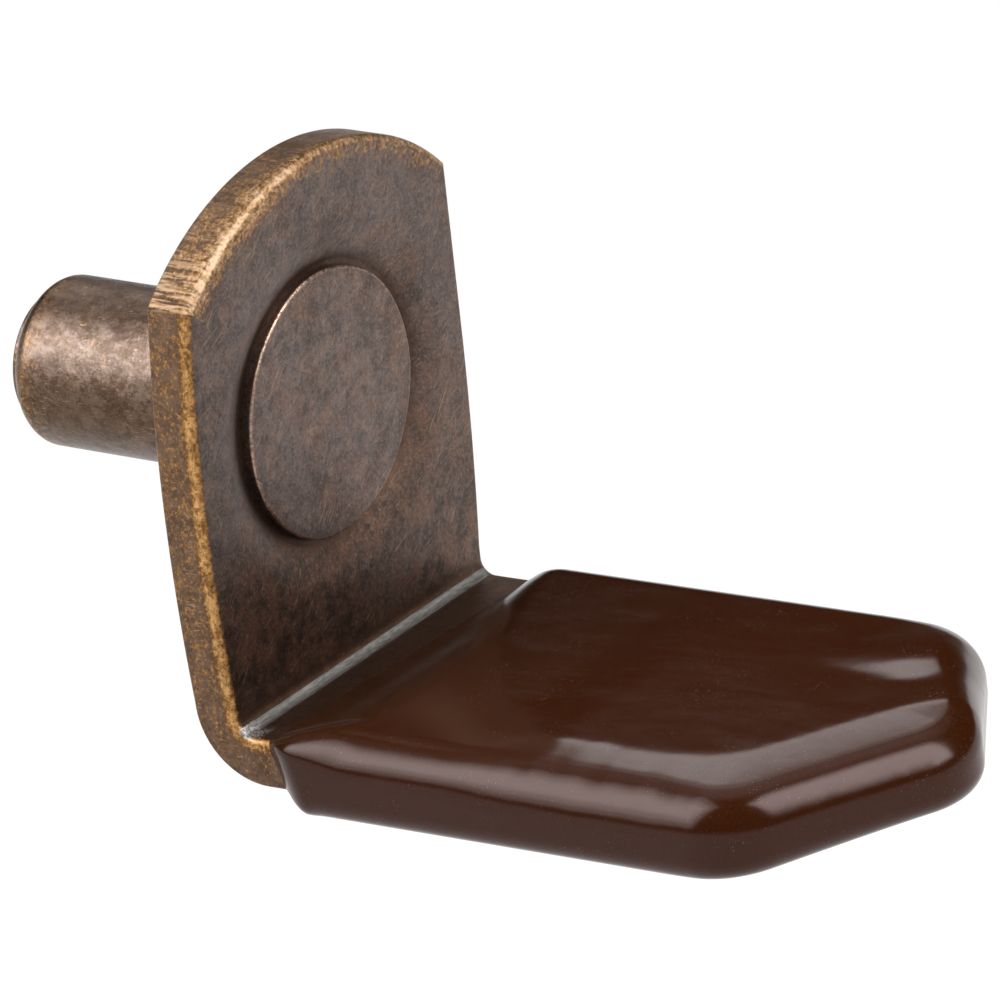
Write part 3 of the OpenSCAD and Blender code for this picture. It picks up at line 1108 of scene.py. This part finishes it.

# %% [markdown]
# ## Marks, and a painted highlight
#
# Three marks lie over the gold. Dark pits sit in the band along the cut sides. The punch left fine
# furrows across the cut of the crown, deepest by the shoulders, where their crests are bright. And a
# straight silver line along the inside of the fold is a painted highlight, with a chip of bare metal
# at its near end.

# %% Marks over the gold
PIT_BROWN = (0.105, 0.048, 0.014)
CREST_GOLD = (0.68, 0.46, 0.29)
# Colours and place of the painted highlight along the inside of the fold.
FOLD_HIGHLIGHT_SILVERS = ((0.13, 0.122, 0.112), (0.235, 0.225, 0.21))
CHIP_SILVER = (0.55, 0.53, 0.50)
FURROWS_AWAY = 0.45
FOLD_HIGHLIGHT_AT, FOLD_HIGHLIGHT_HALF = 0.78, 0.16
CHIP_AT, CHIP_HALF = 0.95, 0.35


def pitted(finish, colour, on_band):
    """Dark pits in the band of gold along the cut sides."""
    pits = finish.noise(0.17, stretch=(1, 1, 1.3), detail=3, rough=0.6, shift=101.0)
    return finish.paint(colour, PIT_BROWN, finish.span(pits, 0.53, 0.58, 0.0, 0.8), on_band)


def furrowed(finish, colour, crown_cut):
    """The punch's furrows over a colour, and the relief that they have by the shoulders."""
    lines = finish.noise(0.085, stretch=(1, 14, 2), detail=3, shift=5.0)
    by_shoulder = finish.times(crown_cut, finish.span(finish.z, 6.9, 5.1, 0.12, 1.0))
    everywhere = finish.calc("MAXIMUM", by_shoulder, finish.times(crown_cut, FURROWS_AWAY))
    colour = finish.paint(colour, GRAIN_DARK, everywhere, finish.span(lines, 0.5, 0.4, 0.0, 0.68))
    colour = finish.paint(colour, CREST_GOLD, by_shoulder, finish.span(lines, 0.48, 0.62, 0.0, 0.75))
    return colour, finish.times(by_shoulder, lines)


def fold_highlight_and_chip(finish, colour, along, across, specks):
    """A silver line inside the fold, which is a painted highlight, and the bare chip at its near end."""
    on_front = finish.span(across, 0.9, 0.99)
    silver_grain = finish.noise(0.05, stretch=(6, 1, 1), detail=3, shift=2.0)
    silver = finish.blend(finish.span(silver_grain, 0.35, 0.65), *FOLD_HIGHLIGHT_SILVERS)
    # Painted highlight: a silver line along the inside of the fold.
    on_line = finish.calc("COMPARE", along, FOLD_HIGHLIGHT_AT, FOLD_HIGHLIGHT_HALF)
    colour = finish.paint(colour, silver, on_line, on_front)
    at_end = finish.span(finish.x, -5.2, -5.8)
    by_line = finish.calc("COMPARE", along, CHIP_AT, CHIP_HALF)
    broken = finish.span(specks, 0.46, 0.56, 0.0, 0.9)
    return finish.paint(colour, CHIP_SILVER, at_end, by_line, on_front, broken)


print("silver line at", FOLD_HIGHLIGHT_AT, "mm along the fold, give or take", FOLD_HIGHLIGHT_HALF)

# %% [markdown]
# The finish puts skin, gold and marks together. Its relief is faint: the mottling is slightly raised,
# the rubbed edges are pitted where the gold breaks up, and the furrows are cut across the crown.

# %% The bracket's finish
def bracket_finish():
    finish = Finish("antique brass sheet")
    inset = finish.mark("inset")
    across = finish.mark("across")
    crown = finish.mark("crown")
    along = finish.mark("along")
    grain = finish.noise(0.1, detail=5, rough=0.85)
    specks = finish.noise(0.13, detail=6, rough=0.8, shift=31.0)
    on_cut = finish.span(inset, 0.0, 0.12, 1.0, 0.0)
    on_band = finish.times(on_cut, finish.span(across, 0.65, 0.77, 0.0, 0.75))

    base, mottling = bracket_skin(finish, on_cut, on_band, grain)
    wear = bracket_wear(finish, inset, across, crown, along)
    bright = finish.blend(crown, GOLD_SIDE, GOLD_BRIGHT)
    colour, gold = gild(finish, base, wear, specks, bright)
    colour = pitted(finish, colour, on_band)
    colour, ridges = furrowed(finish, colour, finish.times(crown, on_cut))
    colour = fold_highlight_and_chip(finish, colour, along, across, specks)

    smooth = finish.relief(mottling, 0.04, finish.relief(grain, 0.010))
    on_roll = finish.times(crown, finish.span(inset, 0.4, 0.2))
    rubbed = finish.times(finish.calc("MAXIMUM", on_cut, on_roll), specks)
    normal = finish.relief(ridges, 0.06, finish.relief(rubbed, 0.03, smooth))
    return metal_shader(finish, colour, gold, mottling, (0.42, 0.31), normal)


bracket.data.materials.append(bracket_finish())
print("bracket finish on", bracket.name)

# %% [markdown]
# ## The pin's finish
#
# The pin has the same patina, rubbed by handling. Its shank is patched with ochre and brown, its upper
# side stayed darker, and its under side is darkened with painted shade. Where it was pushed into holes
# one side is worn to a paler metal and scuffed, with sharp dark stains below it; that pale band lies
# where the highlight falls, so it is partly a painted highlight. Gold specks gather where the shank's
# end is rounded, and the rim of the head has a broken copper line.

# %% The pin's skin
SHANK_OCHRES = ((0.185, 0.105, 0.050), (0.255, 0.168, 0.125))
SHANK_DARK = (0.078, 0.042, 0.023)
# Painted shade for the shank's under side.
UNDER_SHADE_BROWN = (0.080, 0.043, 0.020)
STAIN_BROWN = (0.058, 0.031, 0.016)
UPPER_BROWNS = ((0.112, 0.066, 0.043), (0.046, 0.026, 0.016))
# Pale colours for the worn side, laid where the highlight falls, so partly a painted highlight.
SCRAPED_HIGHLIGHT_PALE = (0.200, 0.163, 0.142)
SCUFFED_HIGHLIGHT_PALE = (0.34, 0.27, 0.225)


def shank_patches(finish, base, on_shank):
    """Ochre and dark brown patches along the shank."""
    ochre = finish.noise(0.45, stretch=(1, 1.4, 1), detail=6, rough=0.7, shift=97.0)
    handled = finish.blend(finish.span(ochre, 0.44, 0.56), *SHANK_OCHRES)
    base = finish.paint(base, handled, on_shank, 0.55)
    blotches = finish.noise(0.8, stretch=(1, 1.6, 1), detail=6, rough=0.7, shift=17.0)
    return finish.paint(base, SHANK_DARK, on_shank, finish.span(blotches, 0.49, 0.56, 0.0, 0.75))


def shank_wear_and_painted_light(finish, base, on_shank):
    """The shank's dark upper side, its under side in painted shade, and the pale stained side between
    them.
    """
    # Painted shade: the shank's under side is darkened.
    base = finish.paint(base, UNDER_SHADE_BROWN, on_shank, finish.span(finish.z, 1.0, -0.4, 0.0, 0.55))
    # The pale worn side lies on the band where the highlight falls; its paler colour is partly a painted
    # highlight.
    in_highlight_strip = finish.times(finish.span(finish.z, 0.5, 1.2), finish.span(finish.z, 2.3, 1.8))
    scraped_and_highlight = finish.times(in_highlight_strip, on_shank, finish.span(finish.x, 0.0, -0.5))
    base = finish.paint(base, SCRAPED_HIGHLIGHT_PALE, scraped_and_highlight, 0.31)
    stains = finish.noise(0.3, stretch=(1, 1.5, 1), detail=8, rough=0.74, shift=107.0)
    stained = finish.times(on_shank, finish.span(stains, 0.525, 0.565))
    base = finish.paint(base, STAIN_BROWN, stained, finish.span(finish.z, 1.3, 0.6, 0.28, 0.68))
    upper = finish.blend(finish.span(stains, 0.46, 0.54), *UPPER_BROWNS)
    base = finish.paint(base, upper, on_shank, finish.span(finish.z, 1.3, 2.1, 0.0, 0.42))
    return finish.paint(base, SCUFFED_HIGHLIGHT_PALE, scraped_and_highlight, finish.span(stains, 0.48, 0.42, 0.0, 0.3))


print("shank colours:", SHANK_OCHRES, SHANK_DARK)

# %% The pin's finish
RIM_COPPER = (0.58, 0.38, 0.28)
END_WEAR = 0.42


def pin_finish():
    finish = Finish("antique brass pin")
    grain = finish.noise(0.1, detail=5, rough=0.85)
    specks = finish.noise(0.12, detail=6, rough=0.85, shift=37.0)
    on_shank = finish.span(finish.y, 0.0, 0.2)

    base, mottling = patina(finish)
    base = shank_patches(finish, base, on_shank)
    base = grainy(finish, base, grain)
    base = shank_wear_and_painted_light(finish, base, on_shank)
    base = scratched(finish, base, 50.0)
    round_start = shank_end - END_ROUND
    near_end = finish.span(finish.y, round_start - 1.0, round_start + 0.3, 0.0, END_WEAR)
    before_step = finish.span(finish.y, shank_end - 0.1, shank_end - 0.02, 1.0, 0.0)
    colour, gold = gild(finish, base, finish.times(near_end, before_step), specks)
    on_rim = finish.span(finish.mark("rim"), 0.93, 1.0)
    colour = finish.paint(colour, RIM_COPPER, on_rim, finish.span(specks, 0.42, 0.56), 0.8)
    normal = finish.relief(mottling, 0.03, finish.relief(grain, 0.005))
    return metal_shader(finish, colour, gold, mottling, (0.36, 0.26), normal)


pin.data.materials.append(pin_finish())
print("pin finish on", pin.name)

# %% [markdown]
# ## Dipped vinyl
#
# The vinyl is a deep chocolate brown and glossy, darker at its thin first edge, with a grain too fine
# to feel, a few specks of dust and faint wiping streaks. It is a plain dielectric: nearly all that
# the eye reads is what it reflects, so its smooth form matters more than its colour. Its gloss is
# tinted slightly warm, because the pigment lies right under its skin.

# %% The vinyl's finish
VINYL = (0.0278, 0.0069, 0.0016)
THIN_VINYL = (0.0215, 0.0066, 0.0016)
CLOUDED_VINYL = (0.050, 0.016, 0.0065)
DUST = (0.30, 0.24, 0.22)
WARM_GLOSS = (1.0, 0.82, 0.80, 1.0)


def vinyl_finish():
    finish = Finish("dipped vinyl")
    vinyl = finish.blend(finish.span(finish.mark("run"), 0.0, 3.5), THIN_VINYL, VINYL)
    cloudy = finish.noise(0.05, detail=5, rough=0.85, shift=71.0)
    vinyl = finish.paint(vinyl, CLOUDED_VINYL, finish.span(cloudy, 0.42, 0.62, 0.0, 0.35))
    specks = finish.noise(0.06, detail=2, rough=0.6, shift=9.0)
    places = finish.noise(1.6, detail=3, shift=23.0)
    dust = finish.times(finish.span(specks, 0.665, 0.73), finish.span(places, 0.4, 0.65), 0.4)
    streaks = finish.noise(0.5, stretch=(1.2, 5, 1), detail=6, rough=0.7, shift=13.0)
    haze = finish.calc("MAXIMUM", dust, finish.span(streaks, 0.54, 0.85, 0.0, 0.03))
    roughness = finish.span(streaks, 0.35, 0.75, 0.15, 0.20)
    skin_waves = finish.noise(1.4, detail=2, shift=41.0)
    tooth = finish.noise(0.09, detail=3, shift=47.0)
    relief = finish.relief(skin_waves, 0.011, finish.relief(tooth, 0.0012))
    finish.surface(Base_Color=finish.paint(vinyl, DUST, haze), Roughness=roughness, Normal=relief)
    finish.surface(IOR=1.34, Specular_Tint=WARM_GLOSS)
    return finish.material


coating.data.materials.append(vinyl_finish())
print("vinyl finish on", coating.name)

# %% [markdown]
# ## The floor
#
# The part is held by its pin, so it floats above a plain white floor. The floor looks white to the
# camera, in reflections and through anything clear, and still takes a soft shadow. For that it is
# two floors in one: a pale matt one, and a share of plain white that only those rays see.

# %% Lay the floor
FLOOR_Z = -0.032
FLOOR_HALF = 3.0
WHITE_SHARE = 0.8


def seen_directly(tree, share):
    """A share for rays from the camera, mirrors and glass, and 0 for all others."""
    path = add_node(tree, "LightPath").outputs
    seen = path["Is Camera Ray"]
    for ray in ("Is Glossy Ray", "Is Transmission Ray"):
        seen = add_node(tree, "Math", {0: seen, 1: path[ray]}, operation="MAXIMUM").outputs[0]
    return add_node(tree, "Math", {0: seen, 1: share}, operation="MULTIPLY").outputs[0]


def white_floor_finish():
    """A pale matt floor, with plain white mixed in for the rays that see it directly."""
    material = bpy.data.materials.new("white floor")
    material.use_nodes = True
    tree = material.node_tree
    tree.nodes.clear()
    lit = add_node(tree, "BsdfDiffuse", {"Color": (0.85, 0.85, 0.85, 1)})
    white = add_node(tree, "Emission", {"Strength": 1.0})
    mixed = {0: seen_directly(tree, WHITE_SHARE), 1: lit.outputs[0], 2: white.outputs[0]}
    add_node(tree, "OutputMaterial", {"Surface": add_node(tree, "MixShader", mixed).outputs[0]})
    return material


floor_mesh = bpy.data.meshes.new("floor")
corners = [(-1, -1), (1, -1), (1, 1), (-1, 1)]
floor_points = [(x * FLOOR_HALF, y * FLOOR_HALF, FLOOR_Z) for x, y in corners]
floor_mesh.from_pydata(floor_points, [], [(0, 1, 2, 3)])
floor = bpy.data.objects.new("floor", floor_mesh)
bpy.context.scene.collection.objects.link(floor)
floor_mesh.materials.append(white_floor_finish())
print("floor", round(COAT_LOW.z * MM - FLOOR_Z, 4), "m below the part")

# %% [markdown]
# ## The studio
#
# Glossy brown vinyl only looks brown when it has something dark to mirror, so the studio is dim, with
# a pale backdrop that starts just above the horizon. The camera itself sees only white.

# %% Dim the studio
STUDIO_DIM = 0.010
BACKDROP_TOP = 0.05
BACKDROP_FADE = 0.1


def studio_world():
    """White at the horizon and to the camera, dim above."""
    world = bpy.data.worlds.new("studio")
    world.use_nodes = True
    tree = world.node_tree
    way = add_node(tree, "TexCoord").outputs["Generated"]
    height = add_node(tree, "SeparateXYZ", {0: way}).outputs[2]
    fade = {0: height, 1: BACKDROP_TOP, 2: BACKDROP_TOP + BACKDROP_FADE, 3: 1.0, 4: STUDIO_DIM}
    backdrop = add_node(tree, "MapRange", fade, interpolation_type="SMOOTHSTEP").outputs[0]
    camera_ray = add_node(tree, "LightPath").outputs["Is Camera Ray"]
    strength = add_node(tree, "Math", {0: backdrop, 1: camera_ray}, operation="MAXIMUM")
    tree.links.new(strength.outputs[0], tree.nodes["Background"].inputs["Strength"])
    return world


bpy.context.scene.world = studio_world()
bpy.context.scene.view_settings.view_transform = "Standard"
print("studio dimmed to", STUDIO_DIM)

# %% [markdown]
# Five softboxes light it. The two strong ones stand to the side and in front: they light the metal
# and draw the long highlights along the coat's near edge and round its point. Two small round ones
# behind draw the highlights on the knee and the bead, and a dim large one overhead keeps the top
# from going black. Each faces the part, and its place and size are angles as the part sees them. A
# real softbox is brighter in its middle than at its border, so the strong ones and the large one are
# nested lamps, of three sizes, each a little further off than the one inside it.

# %% Hang the softboxes
LAMP_DISTANCE = 0.4
NEST_STEP = 0.05


def lamp(name, way, width, height, radiance, distance, shape):
    """One flat lamp that faces the part."""
    data = bpy.data.lights.new(name, "AREA")
    data.shape = shape
    data.size = 2 * distance * math.tan(math.radians(width / 2))
    data.size_y = 2 * distance * math.tan(math.radians(height / 2))
    covered = math.pi / 4 if shape == "ELLIPSE" else 1
    data.energy = radiance * math.pi * data.size * data.size_y * covered
    light = bpy.data.objects.new(name, data)
    light.location = AIM + way * distance
    light.rotation_euler = way.to_track_quat("Z", "Y").to_euler()
    bpy.context.scene.collection.objects.link(light)
    print(name, "gives", round(data.energy, 3), "W")


def softbox(name, azimuth, elevation, width, height, radiance, soft=0.0, shape="RECTANGLE"):
    """A lamp behind cloth; a soft one is three lamps, their sizes that share apart."""
    turn = math.radians(azimuth)
    rise = math.radians(elevation)
    level = math.cos(rise)
    way = Vector((math.sin(turn) * level, math.cos(turn) * level, math.sin(rise)))
    layers = (1 - soft, 1, 1 + soft) if soft else (1,)
    for layer in layers:
        distance = LAMP_DISTANCE * (1 - NEST_STEP + NEST_STEP * layer)
        lamp(name, way, width * layer, height * layer, radiance / len(layers), distance, shape)


softbox("long side light", -50, 39, 28, 44, 8.4, 0.4)
softbox("back light", 50, 36, 33, 13, 2.05, shape="ELLIPSE")
softbox("high back light", 50, 44, 34, 26, 1.1, shape="ELLIPSE")
softbox("top light", 55, 72, 58, 42, 1.05, 0.25, shape="ELLIPSE")
softbox("front light", 170, 41, 28, 46, 8.9, 0.15)

# %% [markdown]
# ## Join the pieces to the model
#
# Each piece rides on the one body and hides the plain solid that it stands for.

# %% Ride and replace
for piece, node, slot in (
    (bracket, "bracket", "bracket_metal"),
    (pin, "pin", "pin_metal"),
    (coating, "coating", "vinyl"),
):
    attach(piece, "root")
    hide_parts(node)
